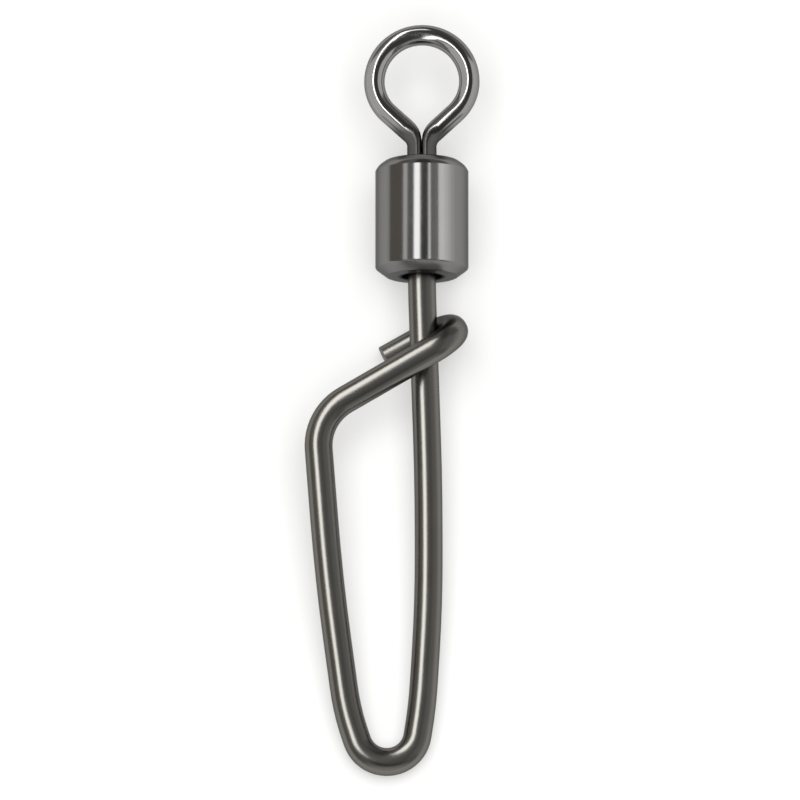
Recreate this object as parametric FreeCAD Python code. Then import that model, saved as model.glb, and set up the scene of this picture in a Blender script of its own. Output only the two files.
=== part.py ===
import FreeCAD, Part
import math
import os

# A rolling swivel with a hooked snap, lying on its side. The line is tied to a wire eye, a
# turned barrel lets the two ends spin apart, and the lure hangs in the bend of a long wire
# snap whose end hooks round its own shaft. All sizes are in millimetres and degrees.
# The pieces are built along the swivel axis, which is +Y here, with the barrel's snap end
# at Y = 0, and are then laid down on the floor together.

# Barrel: a turned sleeve with an end wall drawn in at the eye and one swaged over the snap's head
barrel_d = 7.5
barrel_length = 9.5
barrel_wall = 0.75
drawn_wall = 1.0
drawn_edge_width = 0.2
drawn_edge_length = 0.9
drawn_cone_width = 0.68
drawn_cone_length = 0.53
drawn_rim_round = 0.15
drawn_shoulder_round = 1.0
drawn_face_round = 0.8
swaged_wall = 1.3
swaged_cone_width = 0.9
swaged_cone_length = 0.68
swaged_round = 0.3
cavity_round = 0.35
mouth_flare = 0.35
mouth_depth = 0.85
lip_round = 0.12

# Eye: one wire, bent to a ring, with its two legs pressed half-round to make one shank
eye_wire_d = 1.65
eye_ring_inner_d = 6.0
eye_side_bend_r = 3.5
eye_leg_angle = 47.5
eye_crotch_r = 0.6
eye_meeting_r = 2.3
neck_length = 1.15
seam_gap = 0.04
seam_edge_round = 0.35

# Snap: one wire, headed inside the barrel and bent into a closed hook
snap_wire_d = 2.25
snap_length = 40.7
bend_inner_r = 1.36
bend_offset = 2.82
shaft_lean = 9.3
leg_lean = 18.9
bend_lead = 2.5
shaft_bow = 0.54
upper_bow_drop = 17.1
lower_bow_rise = 10.4
leg_bow_rise = 12.3
leg_bow_offset = 7.45
shoulder_offset = 8.48
shoulder_bend_r = 4.2
shoulder_rise = 1.5
arm_angle = 29.6
hook_drop = 4.36
hook_skew_along = 1.95
hook_skew_across = 0.54
tail_length = 5.98
tail_edge_break = 0.06
straight_exit = 1.0

# Fits: how far the two heads reach past their holes, and the room that moving pieces have
head_overlap = 0.95
head_thickness = 1.6
head_round = 0.4
neck_clearance = 0.08
seat_clearance = 0.06
hook_clearance = 0.12
hook_side_clearance = 0.14


def point(x, y, z=0.0):
    return FreeCAD.Vector(x, y, z)


# Worked out from the sizes above
barrel_r = barrel_d / 2
drawn_face_r = barrel_r - drawn_edge_width - drawn_cone_width
swaged_face_r = barrel_r - swaged_cone_width
cavity_r = barrel_r - barrel_wall
eye_wire_r = eye_wire_d / 2
snap_wire_r = snap_wire_d / 2
# Two half-rounds side by side keep the wire's own area, so the shank is wider than the wire
half_round_r = math.sqrt(2) * eye_wire_r
shank_r = half_round_r + seam_gap / 2
eye_hole_r = shank_r + neck_clearance
snap_hole_r = snap_wire_r + neck_clearance
mouth_r = snap_hole_r + mouth_flare
eye_seat = barrel_length - drawn_wall - seat_clearance
snap_seat = swaged_wall + seat_clearance

axis_base = point(0, 0)
along_axis = point(0, 1)


def corner_arc(before, corner, after, radius):
    """Start, middle and end of the arc that rounds a corner; no radius means as large as fits."""
    back = before - corner
    ahead = after - corner
    shorter_run = min(back.Length, ahead.Length)
    back.normalize()
    ahead.normalize()
    half_turn = (math.pi - back.getAngle(ahead)) / 2
    if radius is None:
        radius = 0.45 * shorter_run / math.tan(half_turn)
    reach = radius * math.tan(half_turn)
    towards_centre = back + ahead
    towards_centre.normalize()
    centre_distance = radius / math.cos(half_turn)
    middle = corner + towards_centre * (centre_distance - radius)
    return corner + back * reach, middle, corner + ahead * reach


def straight(start, end):
    """A straight run as a list, empty where two bends meet with no run between them."""
    if (end - start).Length < 1e-6:
        return []
    return [Part.LineSegment(start, end).toShape()]


def bent_path(points, radii):
    """Straight runs joined by tangent arcs, one radius for each inner point."""
    edges = []
    last = points[0]
    for before, corner, after, radius in zip(points, points[1:], points[2:], radii):
        start, middle, end = corner_arc(before, corner, after, radius)
        edges += straight(last, start)
        edges.append(Part.Arc(start, middle, end).toShape())
        last = end
    edges += straight(last, points[-1])
    return Part.Wire(edges)


def turned(corners, start_angle=0, sweep=360):
    """A solid of revolution from (radius, place along the axis, rounding) corners of its section."""
    places = [point(r, y) for r, y, _ in corners]
    edges = []
    last = places[0]
    count = len(corners)
    for i in range(1, count + 1):
        here = places[i % count]
        rounding = corners[i % count][2]
        if rounding == 0:
            edges += straight(last, here)
            last = here
            continue
        start, middle, end = corner_arc(places[i - 1], here, places[(i + 1) % count], rounding)
        edges += straight(last, start)
        edges.append(Part.Arc(start, middle, end).toShape())
        last = end
    section = Part.Face(Part.Wire(edges))
    section.rotate(axis_base, along_axis, start_angle)
    return section.revolve(axis_base, along_axis, sweep)


def round_bar(path, radius):
    """A round wire swept along its path."""
    first = path.Edges[0]
    start = first.valueAt(first.FirstParameter)
    direction = first.tangentAt(first.FirstParameter)
    disc = Part.Face(Part.Wire(Part.Circle(start, direction, radius).toShape()))
    return path.makePipe(disc)


def one_solid(shapes):
    """The shapes fused, with leftover seams between like faces removed."""
    whole = shapes[0].fuse(shapes[1:])
    return whole.removeSplitter().Solids[0]


# The barrel's wall is one turned section: outside from the eye's hole to the mouth at the
# snap, then back through the bearing hole and the cavity
def make_barrel():
    top = barrel_length
    return turned([
        (eye_hole_r, top, 0),
        (drawn_face_r, top, drawn_face_round),
        (barrel_r - drawn_edge_width, top - drawn_cone_length, drawn_shoulder_round),
        (barrel_r, top - drawn_edge_length, drawn_rim_round),
        (barrel_r, swaged_cone_length, swaged_round),
        (swaged_face_r, 0, swaged_round),
        (mouth_r, 0, lip_round),
        (mouth_r, mouth_depth, 0),
        (snap_hole_r, mouth_depth, 0),
        (snap_hole_r, swaged_wall, 0),
        (cavity_r, swaged_wall, cavity_round),
        (cavity_r, top - drawn_wall, cavity_round),
        (eye_hole_r, top - drawn_wall, 0),
    ])


def make_head(seat, inward, hole_r, start_angle=0, sweep=360):
    """A cold-formed head that bears on an end wall; inward is +1 or -1 along the axis."""
    rim_r = hole_r + head_overlap
    crown_r = rim_r * 0.62
    crown = seat + inward * head_thickness
    waist = seat + inward * head_thickness * 0.55
    return turned([
        (0, seat, 0),
        (rim_r, seat, head_round / 2),
        (rim_r, waist, head_round),
        (crown_r, crown, head_round),
        (0, crown, 0),
    ], start_angle, sweep)


# The eye's legs: each turns down into the shank on its own bend and is pressed against the
# other, so that its side at the seam goes flat and its outside bulges
leg_tilt = math.radians(eye_leg_angle)
seam_x = seam_gap / 2
crotch = point(eye_crotch_r + shank_r, barrel_length + neck_length)
up_the_leg = point(math.sin(leg_tilt), math.cos(leg_tilt))
across_the_leg = point(-math.cos(leg_tilt), math.sin(leg_tilt))
leg_outer_start = crotch + across_the_leg * eye_crotch_r
leg_inner_start = leg_outer_start + across_the_leg * eye_wire_d
seam_corner_y = leg_inner_start.y - (leg_inner_start.x - seam_x) / math.tan(leg_tilt)
seam_top_y = seam_corner_y - eye_meeting_r * math.tan(leg_tilt / 2)


def inner_side(y):
    """How far from the seam's middle the inner side of a leg is at this height."""
    turned_by = (y - seam_top_y) / eye_meeting_r
    if turned_by <= 0:
        return seam_x
    if turned_by <= math.sin(leg_tilt):
        return seam_x + eye_meeting_r * (1 - math.sqrt(1 - turned_by ** 2))
    return leg_inner_start.x + (y - leg_inner_start.y) * math.tan(leg_tilt)


def leg_section(heading, along_leg=0.0):
    """The leg's section where it heads this many degrees away from the axis, and its middle."""
    tilt = math.radians(heading)
    inwards = point(-math.cos(tilt), math.sin(tilt))
    outer = crotch + inwards * eye_crotch_r + up_the_leg * along_leg
    low, high = 0.5 * half_round_r, eye_wire_d
    for _ in range(50):
        width = (low + high) / 2
        place = outer + inwards * width
        if place.x > inner_side(place.y):
            low = width
        else:
            high = width
    pressed = (eye_wire_d - width) / (eye_wire_d - half_round_r)
    inner = outer + inwards * width

    def spot(from_seam, height):
        return inner - inwards * from_seam + point(0, 0, height)

    bulge_r = eye_wire_r + (shank_r - eye_wire_r) * pressed
    edge_r = eye_wire_r + (seam_edge_round - eye_wire_r) * pressed
    if pressed < 1e-3:
        # A round section is split in the same four places, so that the skin runs on evenly
        ends = [(eye_wire_r * (1 + math.cos(a)), eye_wire_r * math.sin(a)) for a in (1.2, 2.0, 2.9)]
        bulge_end, edge_middle, flat_end = ends
    else:
        flat_half = math.sqrt((width - 2 * edge_r) * (2 * bulge_r - width))
        towards_edge = math.atan2(flat_half, edge_r - width + bulge_r)
        halfway = (towards_edge + math.pi) / 2
        bulge_end = (width - bulge_r + bulge_r * math.cos(towards_edge), bulge_r * math.sin(towards_edge))
        edge_middle = (edge_r + edge_r * math.cos(halfway), flat_half + edge_r * math.sin(halfway))
        flat_end = (0, flat_half)
    front = [spot(*bulge_end), spot(*edge_middle), spot(*flat_end)]
    back = [point(p.x, p.y, -p.z) for p in front]
    bulge = Part.Arc(back[0], outer, front[0]).toShape()
    front_edge = Part.Arc(front[0], front[1], front[2]).toShape()
    if pressed < 1e-3:
        seam_side = Part.Arc(front[2], inner, back[2]).toShape()
    else:
        seam_side = Part.LineSegment(front[2], back[2]).toShape()
    back_edge = Part.Arc(back[2], back[1], back[0]).toShape()
    return Part.Wire([bulge, front_edge, seam_side, back_edge]), outer + inwards * eye_wire_r


def make_eye():
    ring_r = eye_ring_inner_d / 2 + eye_wire_r
    # The pressing starts up the straight leg, level with the start of the bend on its inner side
    meeting = point(seam_x + eye_meeting_r, seam_top_y) + across_the_leg * eye_meeting_r
    lead = (meeting - leg_outer_start).dot(up_the_leg)
    steps = 5
    sections = [leg_section(eye_leg_angle, lead * (1 - k / steps)) for k in range(steps)]
    sections += [leg_section(eye_leg_angle * (1 - k / steps)) for k in range(steps + 1)]
    leg_top = sections[0][1]
    pressed_leg = Part.makeLoft([wire for wire, _ in sections], True, False, False, 3)

    # The ring: half a circle over the top, a tighter bend below each side, then the leg
    ring_side = leg_top.y + (ring_r - leg_top.x) / math.tan(leg_tilt)
    ring_middle = ring_side + eye_side_bend_r * math.tan(leg_tilt / 2)
    ring_path = bent_path(
        [
            leg_top,
            point(ring_r, ring_side),
            point(ring_r, ring_middle + ring_r),
            point(0, ring_middle + ring_r),
        ],
        [eye_side_bend_r, ring_r],
    )
    ring = ring_path.makePipe(Part.Face(sections[0][0]))

    shank_end = eye_seat - head_thickness / 2
    half_shank = Part.Face(sections[-1][0]).extrude(point(0, shank_end - crotch.y))
    half_head = make_head(eye_seat, -1, eye_hole_r, start_angle=-90, sweep=180)
    half_head.translate(point(seam_x, 0))
    right = one_solid([ring, pressed_leg, half_shank, half_head])
    left = right.mirror(axis_base, point(1, 0))
    return one_solid([right, left]), ring_middle


# The snap's wire: down the shaft, round the bend, up the leg and over the shoulder, then
# across the front of the shaft, round its right side and back behind it to the cut end
def snap_points():
    bend_r = bend_inner_r + snap_wire_r
    bend = point(-bend_offset, -(snap_length - snap_wire_r - bend_r))
    down = math.radians(shaft_lean)
    up = math.radians(leg_lean)
    shaft_in = point(-math.sin(down), -math.cos(down))
    leg_out = point(-math.sin(up), math.cos(up))
    in_normal = point(math.cos(down), -math.sin(down))
    out_normal = point(-math.cos(up), -math.sin(up))
    bottom_normal = in_normal + out_normal
    bottom_normal.normalize()
    quarter_turn = in_normal.getAngle(bottom_normal) / 2
    corner_distance = bend_r / math.cos(quarter_turn)
    right_corner = in_normal + bottom_normal
    right_corner.normalize()
    left_corner = out_normal + bottom_normal
    left_corner.normalize()

    hook_side = snap_wire_d + hook_side_clearance + shaft_bow * hook_drop / upper_bow_drop
    hook_height = snap_wire_d + hook_clearance
    # The arm climbs evenly from the shoulder, over the shaft, to the hook's front corner
    front_x = hook_side + hook_skew_across / 2
    front_y = -hook_drop - hook_skew_along / 2
    climb = (hook_height - shoulder_rise) / shoulder_offset
    hook_front = point(front_x, front_y, hook_height + climb * front_x)
    hook_back = point(front_x - hook_skew_across, front_y + hook_skew_along, -hook_height)
    arm = math.radians(arm_angle)
    shoulder_y = front_y - (front_x + shoulder_offset) * math.tan(arm)
    shoulder = point(-shoulder_offset, shoulder_y, shoulder_rise)
    leg_top_rise = shoulder_y - bend.y
    leg_bow_height = shoulder_rise * leg_bow_rise / leg_top_rise
    tail = hook_back - point(math.cos(arm), math.sin(arm)) * tail_length

    places_and_radii = [
        (point(0, snap_seat + head_thickness / 2), None),
        (point(0, -straight_exit), None),
        (point(shaft_bow, -upper_bow_drop), None),
        (point(shaft_bow, bend.y + lower_bow_rise), None),
        (bend + in_normal * bend_r - shaft_in * bend_lead, None),
        (bend + right_corner * corner_distance, bend_r),
        (bend + left_corner * corner_distance, bend_r),
        (bend + out_normal * bend_r + leg_out * bend_lead, None),
        (point(-leg_bow_offset, bend.y + leg_bow_rise, leg_bow_height), None),
        (shoulder, shoulder_bend_r),
        (hook_front, snap_wire_d),
        (hook_back, snap_wire_d),
        (tail, None),
    ]
    places = [place for place, _ in places_and_radii]
    radii = [radius for _, radius in places_and_radii[1:-1]]
    return places, radii, bend


def make_snap():
    places, radii, bend = snap_points()
    path = bent_path(places, radii)
    bar = round_bar(path, snap_wire_r)
    tail = places[-1]
    cut_edges = [e for e in bar.Edges if (e.CenterOfMass - tail).Length < 1e-3]
    bar = bar.makeChamfer(tail_edge_break, cut_edges)
    return one_solid([bar, make_head(snap_seat, 1, snap_hole_r)]), path, bend


# How it lies: the swivel axis tilts and the snap turns a little about it until the centre of
# mass is as low over the floor as it can be, on the wire or on the barrel's swaged rim
def lowest_of_barrel(tilt):
    """The lowest height of the barrel's rounded rim at the snap's end."""
    rim_turn = math.atan2(swaged_cone_width, swaged_cone_length)
    rim_y = swaged_cone_length + swaged_round * math.tan(rim_turn / 2)
    rim_r = barrel_r - swaged_round
    angle = math.radians(tilt)
    return rim_y * math.sin(angle) - rim_r * math.cos(angle) - swaged_round


def height_of(place, tilt, roll):
    """The height of a place on the snap once it has been rolled and tilted."""
    rolled_z = place.z * math.cos(math.radians(roll)) - place.x * math.sin(math.radians(roll))
    return place.y * math.sin(math.radians(tilt)) + rolled_z * math.cos(math.radians(tilt))


def lowest_of_all(wire_places, tilt, roll):
    """The lowest height of the whole piece, with the wire as a row of balls."""
    lowest_wire = min(height_of(place, tilt, roll) for place in wire_places) - snap_wire_r
    return min(lowest_wire, lowest_of_barrel(tilt))


def lying_angles(path, pieces):
    """The tilt of the axis and the roll of the snap at which the piece comes to rest."""
    wire_places = path.discretize(Distance=0.1)
    volume = sum(piece.Volume for piece in pieces)
    mass_centre = point(0, 0)
    for piece in pieces:
        mass_centre += piece.CenterOfMass * (piece.Volume / volume)

    def centre_height(tilt, roll):
        return height_of(mass_centre, tilt, roll) - lowest_of_all(wire_places, tilt, roll)

    tilt, roll, step = 4.0, 2.0, 1.0
    best = centre_height(tilt, roll)
    while step > 1e-4:
        tries = []
        for k in range(16):
            new_tilt = tilt + step * math.cos(k * math.pi / 8)
            new_roll = roll + step * math.sin(k * math.pi / 8)
            tries.append((centre_height(new_tilt, new_roll), new_tilt, new_roll))
        lower = min(tries)
        if lower[0] < best:
            best, tilt, roll = lower
        else:
            step /= 2
    return tilt, roll, lowest_of_all(wire_places, tilt, roll)


def main():
    barrel = make_barrel()
    eye, ring_middle = make_eye()
    snap, path, bend = make_snap()
    tilt, roll, lowest = lying_angles(path, [barrel, eye, snap])
    snap.rotate(axis_base, along_axis, roll)
    pieces = {"barrel": barrel, "eye": eye, "snap": snap}
    for piece in pieces.values():
        piece.rotate(axis_base, point(1, 0), tilt)

    # The origin is on the floor, under the middle of the whole piece
    box = FreeCAD.BoundBox()
    for piece in pieces.values():
        box.add(piece.optimalBoundingBox(False))
    shift = point(-box.Center.x, -box.Center.y, -lowest)
    os.makedirs("parts", exist_ok=True)
    for name, piece in pieces.items():
        piece.translate(shift)
        piece.exportStep("parts/" + name + ".step")
        print(name, "valid", piece.isValid(), "solids", len(piece.Solids), "mm3", round(piece.Volume, 2))

    lean = FreeCAD.Rotation(point(1, 0), tilt)
    rolled = FreeCAD.Rotation(point(1, 0), tilt).multiply(FreeCAD.Rotation(along_axis, roll))
    print("tilt", round(tilt, 4), "roll", round(roll, 4))
    print("axis point", shift, "axis direction", lean.multVec(along_axis))
    print("eye centre", lean.multVec(point(0, ring_middle)) + shift, "normal", lean.multVec(point(0, 0, 1)))
    print("bend centre", rolled.multVec(bend) + shift, "normal", rolled.multVec(point(0, 0, 1)))
    print("box", box.XLength, box.YLength, box.ZLength, "lowest", box.ZMin + shift.z)


main()
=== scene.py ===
import bpy
import bmesh
import math
from mathutils import Matrix, Vector


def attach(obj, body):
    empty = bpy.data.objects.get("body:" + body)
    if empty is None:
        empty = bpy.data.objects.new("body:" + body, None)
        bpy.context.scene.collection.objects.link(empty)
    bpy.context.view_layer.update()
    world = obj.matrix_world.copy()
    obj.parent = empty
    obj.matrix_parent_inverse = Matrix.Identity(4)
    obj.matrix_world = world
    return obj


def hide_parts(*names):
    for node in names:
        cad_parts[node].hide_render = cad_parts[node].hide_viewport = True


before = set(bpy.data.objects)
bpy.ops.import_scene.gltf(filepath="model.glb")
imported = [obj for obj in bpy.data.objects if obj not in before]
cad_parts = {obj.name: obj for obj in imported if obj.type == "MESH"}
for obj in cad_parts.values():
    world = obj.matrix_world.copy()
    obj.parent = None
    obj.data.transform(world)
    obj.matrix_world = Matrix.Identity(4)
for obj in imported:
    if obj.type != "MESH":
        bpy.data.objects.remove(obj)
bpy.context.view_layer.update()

# The barrel: a turned brass sleeve, drawn in at the eye and swaged over the snap's head, then
# polished and plated with black nickel. The plating gives a dark mirror, and the turning
# leaves faint rings round it.


def linear(hex_colour):
    """An sRGB hex colour as linear red, green, blue and alpha."""
    parts = [int(hex_colour[i:i + 2], 16) / 255 for i in (1, 3, 5)]
    return [c / 12.92 if c <= 0.04045 else ((c + 0.055) / 1.055) ** 2.4 for c in parts] + [1.0]


def add_node(tree, kind, settings, links):
    """Adds a node, gives its properties and inputs their settings, and links its inputs."""
    node = tree.nodes.new(kind)
    for name, value in settings.items():
        if isinstance(name, str) and hasattr(node, name):
            setattr(node, name, value)
        else:
            node.inputs[name].default_value = value
    for name, source in links.items():
        tree.links.new(source, node.inputs[name])
    return node


# The swivel axis rises a little towards the eye, and leaves the barrel's mouth at this point
MM = 0.001
LIE_TILT = math.radians(4.0221)
AXIS_POINT = Vector((2.3489, 10.0093, 3.8147)) * MM


def swivel_place(tree):
    """Millimetres from the middle of the barrel's mouth, with Y along the swivel axis."""
    place = add_node(tree, "ShaderNodeTexCoord", {}, {})
    return add_node(tree, "ShaderNodeMapping",
                    {"vector_type": "TEXTURE", "Location": AXIS_POINT, "Rotation": (LIE_TILT, 0, 0),
                     "Scale": (MM, MM, MM)}, {"Vector": place.outputs["Object"]})


def step_between(tree, source, start, end):
    """Rises smoothly from 0 to 1 as the source goes from start to end."""
    return add_node(tree, "ShaderNodeMapRange",
                    {"interpolation_type": "SMOOTHSTEP", "From Min": start, "From Max": end},
                    {"Value": source}).outputs[0]


MERGE_MM = 0.001
SHARP_ANGLE = math.radians(32)


def closed_copy(node_name):
    """The node's triangles merged to one skin, so that reflections run over it without breaks."""
    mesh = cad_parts[node_name].data.copy()
    skin = bmesh.new()
    skin.from_mesh(mesh)
    bmesh.ops.remove_doubles(skin, verts=skin.verts, dist=MERGE_MM * MM)
    skin.to_mesh(mesh)
    skin.free()
    for old_shading in ("custom_normal", "sharp_edge", "sharp_face"):
        if old_shading in mesh.attributes:
            mesh.attributes.remove(mesh.attributes[old_shading])
    mesh.set_sharp_from_angle(angle=SHARP_ANGLE)
    mesh.materials.clear()
    piece = bpy.data.objects.new(node_name + "_plated", mesh)
    bpy.context.scene.collection.objects.link(piece)
    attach(piece, node_name)
    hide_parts(node_name)
    return piece


barrel = closed_copy("barrel")
turned_brass = bpy.data.materials.new("black_nickel_on_turned_brass")
turned_brass.use_nodes = True
tree = turned_brass.node_tree
shader = tree.nodes["Principled BSDF"]
shader.inputs["Metallic"].default_value = 1.0
shader.inputs["Specular Tint"].default_value = linear("#a8a8a8")
swivel = swivel_place(tree)
apart = add_node(tree, "ShaderNodeSeparateXYZ", {}, {0: swivel.outputs[0]})
across = add_node(tree, "ShaderNodeVectorMath", {"operation": "MULTIPLY", 1: (1, 0, 1)},
                  {0: swivel.outputs[0]})
off_axis = add_node(tree, "ShaderNodeVectorMath", {"operation": "LENGTH"}, {0: across.outputs[0]})
# Smudges from handling, a few millimetres across, vary the plating's tone and gloss
SMUDGE_MM = 2.5
smudges = add_node(tree, "ShaderNodeTexNoise", {"Scale": 1 / SMUDGE_MM, "Detail": 3.0},
                   {"Vector": swivel.outputs[0]})
tone = add_node(tree, "ShaderNodeMix", {"data_type": "RGBA", 6: linear("#787878"), 7: linear("#7f7e7c")},
                {0: smudges.outputs[0]})
# Painted shade: the plating is painted near black inside the mouth and round the eye's hole, where shade
# falls in the recesses
MOUTH_R = 1.56
HOLE_R = 1.27
MOUTH_SHADE_WIDTH = 0.5
HOLE_SHADE_WIDTH = 0.3
HALF_WAY = 5.0
in_mouth = step_between(tree, off_axis.outputs["Value"], MOUTH_R + MOUTH_SHADE_WIDTH, MOUTH_R - 0.05)
snap_half = step_between(tree, apart.outputs["Y"], HALF_WAY + 0.2, HALF_WAY - 0.2)
near_hole = step_between(tree, off_axis.outputs["Value"], HOLE_R + HOLE_SHADE_WIDTH, HOLE_R)
dark_mouth = add_node(tree, "ShaderNodeMath", {"operation": "MULTIPLY"}, {0: in_mouth, 1: snap_half})
dark_hole = add_node(tree, "ShaderNodeMath", {"operation": "MULTIPLY", 1: 0.4}, {0: near_hole})
recess_shade = add_node(tree, "ShaderNodeMath", {"operation": "MAXIMUM"},
                   {0: dark_mouth.outputs[0], 1: dark_hole.outputs[0]})
# Painted shade: near black is mixed into the colour over the mouth and round the hole
colour = add_node(tree, "ShaderNodeMix", {"data_type": "RGBA", 7: linear("#1c1b1a")},
                  {0: recess_shade.outputs[0], 6: tone.outputs[2]})
tree.links.new(colour.outputs[2], shader.inputs["Base Color"])
gloss = add_node(tree, "ShaderNodeMapRange", {"To Min": 0.13, "To Max": 0.18},
                 {"Value": smudges.outputs[0]})
rough = add_node(tree, "ShaderNodeMath", {"operation": "MULTIPLY_ADD", 1: 0.4},
                 {0: recess_shade.outputs[0], 2: gloss.outputs[0]})
# Swaging and drawing left the two ends a little duller than the turned side
SWAGED_END = 0.65
DRAWN_END = 8.95
swaged = step_between(tree, apart.outputs["Y"], SWAGED_END + 0.15, SWAGED_END - 0.15)
drawn = step_between(tree, apart.outputs["Y"], DRAWN_END - 0.15, DRAWN_END + 0.15)
worked = add_node(tree, "ShaderNodeMath", {"operation": "MAXIMUM"}, {0: swaged, 1: drawn})
rough = add_node(tree, "ShaderNodeMath", {"operation": "MULTIPLY_ADD", 1: 0.13},
                 {0: worked.outputs[0], 2: rough.outputs[0]})
tree.links.new(rough.outputs[0], shader.inputs["Roughness"])
# The tool's feed was finer than shows from here, so its rings are drawn coarser
RING_MM = 0.25
RING_DEPTH_MM = 0.002
rings = add_node(tree, "ShaderNodeTexNoise", {"noise_dimensions": "1D", "Scale": 1 / RING_MM, "Detail": 2.0},
                 {"W": apart.outputs["Y"]})
turning = add_node(tree, "ShaderNodeBump", {"Strength": 0.3, "Distance": RING_DEPTH_MM * MM},
                   {"Height": rings.outputs[0]})
tree.links.new(turning.outputs[0], shader.inputs["Normal"])
barrel.data.materials.append(turned_brass)

# The eye: hard drawn steel wire, bent to a ring and pressed half-round at its neck, then
# polished and plated. The polish leaves it crisp, and its neck and seam are painted with shade.
eye = closed_copy("eye")
pressed_wire = bpy.data.materials.new("black_nickel_on_pressed_wire")
pressed_wire.use_nodes = True
tree = pressed_wire.node_tree
shader = tree.nodes["Principled BSDF"]
shader.inputs["Metallic"].default_value = 1.0
shader.inputs["Specular Tint"].default_value = linear("#a8a8a8")
swivel = swivel_place(tree)
apart = add_node(tree, "ShaderNodeSeparateXYZ", {}, {0: swivel.outputs[0]})
smudges = add_node(tree, "ShaderNodeTexNoise", {"Scale": 1 / SMUDGE_MM, "Detail": 3.0},
                   {"Vector": swivel.outputs[0]})
tone = add_node(tree, "ShaderNodeMix", {"data_type": "RGBA", 6: linear("#868686"), 7: linear("#8e8d8c")},
                {0: smudges.outputs[0]})
# Painted shade: the whole neck is painted dark, and the seam between the pressed legs darker still
NECK_SHADE = 0.72
SEAM_MM = 0.22
NECK_START = 11.6
NECK_END = 12.6
from_seam = add_node(tree, "ShaderNodeMath", {"operation": "ABSOLUTE"}, {0: apart.outputs["X"]})
at_seam = step_between(tree, from_seam.outputs[0], SEAM_MM, 0.05)
on_neck = step_between(tree, apart.outputs["Y"], NECK_END, NECK_START)
seam_share = add_node(tree, "ShaderNodeMapRange", {"To Min": NECK_SHADE, "To Max": 1.0},
                      {"Value": at_seam})
neck_and_seam_shade = add_node(tree, "ShaderNodeMath", {"operation": "MULTIPLY"},
                     {0: seam_share.outputs[0], 1: on_neck})
# Painted shade: the dark colour is mixed in over the neck and along its seam
colour = add_node(tree, "ShaderNodeMix", {"data_type": "RGBA", 7: linear("#262524")},
                  {0: neck_and_seam_shade.outputs[0], 6: tone.outputs[2]})
tree.links.new(colour.outputs[2], shader.inputs["Base Color"])
gloss = add_node(tree, "ShaderNodeMapRange", {"To Min": 0.11, "To Max": 0.16},
                 {"Value": smudges.outputs[0]})
# The press left the neck dull, and the polish didn't reach it
pressed_dull = step_between(tree, apart.outputs["Y"], NECK_END - 0.2, NECK_START - 0.4)
rough = add_node(tree, "ShaderNodeMath", {"operation": "MULTIPLY_ADD", 1: 0.22},
                 {0: pressed_dull, 2: gloss.outputs[0]})
tree.links.new(rough.outputs[0], shader.inputs["Roughness"])
eye.data.materials.append(pressed_wire)

# The snap: thicker spring wire, drawn hard and bent cold, with the same plating. Drawing leaves
# fine lines along the wire, so it is duller than the barrel and a little olive.
snap = closed_copy("snap")
spring_wire = bpy.data.materials.new("black_nickel_on_spring_wire")
spring_wire.use_nodes = True
tree = spring_wire.node_tree
shader = tree.nodes["Principled BSDF"]
shader.inputs["Metallic"].default_value = 1.0
shader.inputs["Specular Tint"].default_value = linear("#a8a8a8")
swivel = swivel_place(tree)
smudges = add_node(tree, "ShaderNodeTexNoise", {"Scale": 1 / SMUDGE_MM, "Detail": 3.0},
                   {"Vector": swivel.outputs[0]})
colour = add_node(tree, "ShaderNodeMix", {"data_type": "RGBA", 6: linear("#6f6d69"), 7: linear("#777571")},
                  {0: smudges.outputs[0]})
tree.links.new(colour.outputs[2], shader.inputs["Base Color"])
gloss = add_node(tree, "ShaderNodeMapRange", {"To Min": 0.22, "To Max": 0.3},
                 {"Value": smudges.outputs[0]})
tree.links.new(gloss.outputs[0], shader.inputs["Roughness"])
snap.data.materials.append(spring_wire)

# The floor: a plain pale sheet that the piece lies on. It is white to the camera and to the
# metal, and it keeps the shadow.
FLOOR_HALF_SIDE = 600 * MM
FLOOR_GLOW = 0.4
floor_mesh = bpy.data.meshes.new("floor")
sheet = bmesh.new()
bmesh.ops.create_grid(sheet, x_segments=1, y_segments=1, size=FLOOR_HALF_SIDE)
sheet.to_mesh(floor_mesh)
sheet.free()
floor = bpy.data.objects.new("floor", floor_mesh)
bpy.context.scene.collection.objects.link(floor)
pale_sheet = bpy.data.materials.new("pale_sheet")
pale_sheet.use_nodes = True
tree = pale_sheet.node_tree
shader = tree.nodes["Principled BSDF"]
shader.inputs["Base Color"].default_value = linear("#bcbcbb")
shader.inputs["Roughness"].default_value = 0.9
shader.inputs["Specular IOR Level"].default_value = 0.1
rays = add_node(tree, "ShaderNodeLightPath", {}, {})
straight_or_metal = add_node(tree, "ShaderNodeMath", {"operation": "ADD"},
                             {0: rays.outputs["Is Camera Ray"], 1: rays.outputs["Is Glossy Ray"]})
seen = add_node(tree, "ShaderNodeMath", {"operation": "ADD", "use_clamp": True},
                {0: straight_or_metal.outputs[0], 1: rays.outputs["Is Transmission Ray"]})
glow = add_node(tree, "ShaderNodeMath", {"operation": "MULTIPLY", 1: FLOOR_GLOW}, {0: seen.outputs[0]})
shader.inputs["Emission Color"].default_value = linear("#ffffff")
tree.links.new(glow.outputs[0], shader.inputs["Emission Strength"])
floor.data.materials.append(pale_sheet)

# How the piece lies: on its back, with the axis tilted up towards the eye and the snap rolled a
# little. The camera and the lamps are placed from this.
SNAP_ROLL = math.radians(2.2893)
lying = Matrix.Rotation(LIE_TILT, 3, "X") @ Matrix.Rotation(SNAP_ROLL, 3, "Y")

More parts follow.
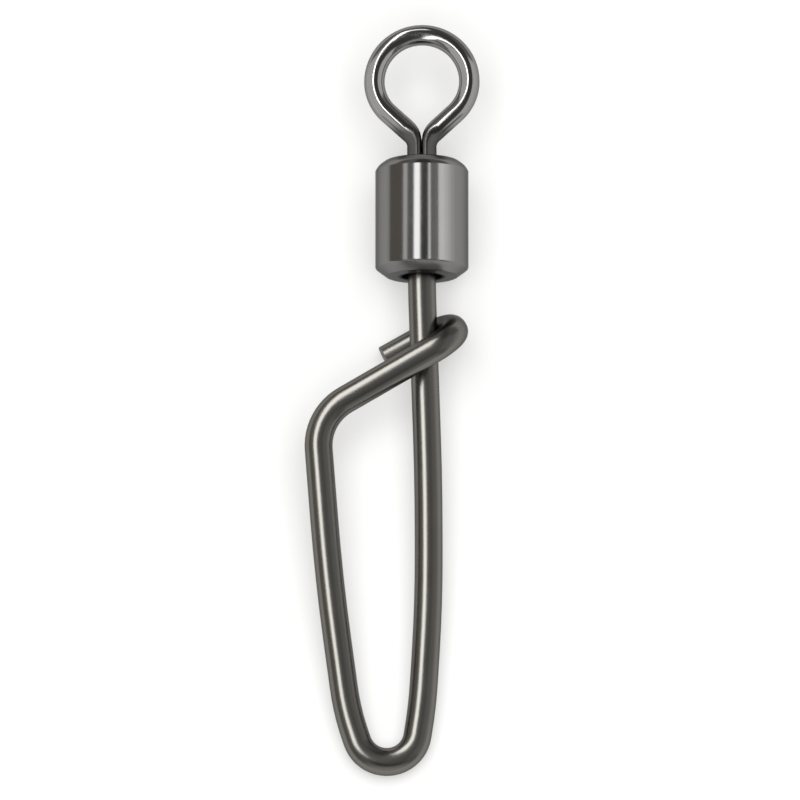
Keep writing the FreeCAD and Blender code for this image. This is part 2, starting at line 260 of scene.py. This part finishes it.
# The camera: a long lens nearly straight above, tipped 11 degrees towards the snap's end. The axis
# leaves the barrel's mouth at the pixel AXIS_X, MOUTH_Y of the picture.
VIEW_TILT = math.radians(11)
MM_PER_PIXEL = 0.0803
PICTURE = 800
PICTURE_MIDDLE = PICTURE / 2
AXIS_X = 421.9
MOUTH_Y = 276.7
LENS = 1000.0
SENSOR = 36.0
right = lying @ Vector((1, 0, 0))
up = lying @ Vector((0, math.cos(VIEW_TILT), math.sin(VIEW_TILT)))
towards = lying @ Vector((0, -math.sin(VIEW_TILT), math.cos(VIEW_TILT)))
beside_mouth = right * (PICTURE_MIDDLE - AXIS_X) + up * (MOUTH_Y - PICTURE_MIDDLE)
aim = AXIS_POINT + beside_mouth * MM_PER_PIXEL * MM
distance = LENS / SENSOR * PICTURE * MM_PER_PIXEL * MM
camera_data = bpy.data.cameras.new("camera")
camera_data.lens = LENS
camera_data.sensor_width = SENSOR
camera_data.sensor_fit = "HORIZONTAL"
camera_data.clip_start = 0.1
camera_data.clip_end = 10.0
camera = bpy.data.objects.new("camera", camera_data)
turn = Matrix((right, up, towards)).transposed().to_4x4()
camera.matrix_world = Matrix.Translation(aim + towards * distance) @ turn
bpy.context.scene.collection.objects.link(camera)
bpy.context.scene.camera = camera

# The studio: a dim grey surround, with long soft boxes in line with the swivel axis. Each piece
# has its own boxes, placed in degrees about that axis to the right of the lens.
SURROUND = [
    (-180, "#a9a9a8"),
    (-92, "#fbfaf9"),
    (-87, "#fbfaf9"),
    (-82, "#9c958d"),
    (-50, "#9c948b"),
    (-44, "#a0a09e"),
    (-26, "#9e9e9d"),
    (-20, "#606060"),
    (34, "#606060"),
    (38, "#959391"),
    (88, "#959391"),
    (180, "#a9a9a8"),
]
world = bpy.data.worlds.new("studio")
bpy.context.scene.world = world
world.use_nodes = True
tree = world.node_tree
background = tree.nodes["Background"]
place = add_node(tree, "ShaderNodeTexCoord", {}, {})
split = add_node(tree, "ShaderNodeSeparateXYZ", {}, {0: place.outputs["Generated"]})
angle = add_node(tree, "ShaderNodeMath", {"operation": "ARCTAN2"},
                 {0: split.outputs["X"], 1: split.outputs["Z"]})
share = add_node(tree, "ShaderNodeMath", {"operation": "MULTIPLY_ADD", 1: 0.5 / math.pi, 2: 0.5},
                 {0: angle.outputs[0]})
ramp = add_node(tree, "ShaderNodeValToRGB", {}, {0: share.outputs[0]})
stops = ramp.color_ramp.elements
while len(stops) < len(SURROUND):
    stops.new(0.5)
for stop, (degrees, colour) in zip(stops, SURROUND):
    stop.position = degrees / 360 + 0.5
    stop.color = linear(colour)
# The far wall at the snap's end is lighter, and it shows in the barrel's lower cone
far_wall = step_between(tree, split.outputs["Y"], -0.7, -0.95)
sky = add_node(tree, "ShaderNodeMix", {"data_type": "RGBA", 7: linear("#e9e8e7")},
               {0: far_wall, 6: ramp.outputs[0]})
tree.links.new(sky.outputs[2], background.inputs["Color"])
background.inputs["Strength"].default_value = 1.0


BOX_REACH = 450 * MM


def soft_box(name, lit, degrees, spread, brightness, length=0.62, lean=0, slant=0):
    """A strip lamp in line with the swivel axis, for the pieces that it is turned on.

    It stands some degrees to the right of the lens and leans towards the eye, and a slant turns it
    about its own middle.
    """
    lamp_data = bpy.data.lights.new(name, "AREA")
    lamp_data.shape = "RECTANGLE"
    lamp_data.size = 2 * BOX_REACH * math.tan(math.radians(spread / 2))
    lamp_data.size_y = length
    lamp_data.energy = brightness * math.pi * lamp_data.size * length
    lamp = bpy.data.objects.new(name, lamp_data)
    aside = Matrix.Rotation(math.radians(degrees), 3, "Y")
    forward = Matrix.Rotation(math.radians(-lean), 3, "X")
    lamp_turn = lying @ aside @ forward @ Matrix.Rotation(math.radians(slant), 3, "Z")
    stand = AXIS_POINT + lamp_turn @ Vector((0, 0, BOX_REACH))
    lamp.matrix_world = Matrix.Translation(stand) @ lamp_turn.to_4x4()
    bpy.context.scene.collection.objects.link(lamp)
    receivers = bpy.data.collections.new(name + " lights")
    for piece in lit:
        receivers.objects.link(piece)
    lamp.light_linking.receiver_collection = receivers


soft_box("barrel key", [barrel], -12, 15, 4.5)
soft_box("barrel left", [barrel], -41.5, 11, 1.2)
soft_box("barrel thin", [barrel], 18.5, 5.5, 2.6)
soft_box("barrel between", [barrel], 30.5, 13, 0.37)
soft_box("barrel right", [barrel], 49, 16, 1.95)
soft_box("barrel right fading", [barrel], 62, 10, 1.6)
soft_box("barrel right faint", [barrel], 71.5, 9, 1.3)
soft_box("barrel far right", [barrel], 83, 14, 0.95)
soft_box("eye key", [eye], -13, 8, 6.0, length=0.34, lean=-4)
soft_box("eye far end", [eye], -22, 8, 6.5, length=0.5, lean=34, slant=13)
soft_box("eye far tip", [eye], -13, 16, 3.0, length=0.1, lean=59)
soft_box("eye near end", [eye], -15, 10, 5.5, length=0.2, lean=-36)
soft_box("eye left", [eye], -57, 66, 0.85)
soft_box("eye right", [eye], 64, 52, 0.9)
soft_box("snap key", [snap], -29, 26, 5.2, length=0.6, lean=17)
soft_box("snap wide", [snap], 29, 82, 0.18)
soft_box("snap right", [snap], 82, 24, 0.45)
soft_box("floor light", [floor], 0, 60, 3.2)

bpy.context.scene.view_settings.view_transform = "Standard"
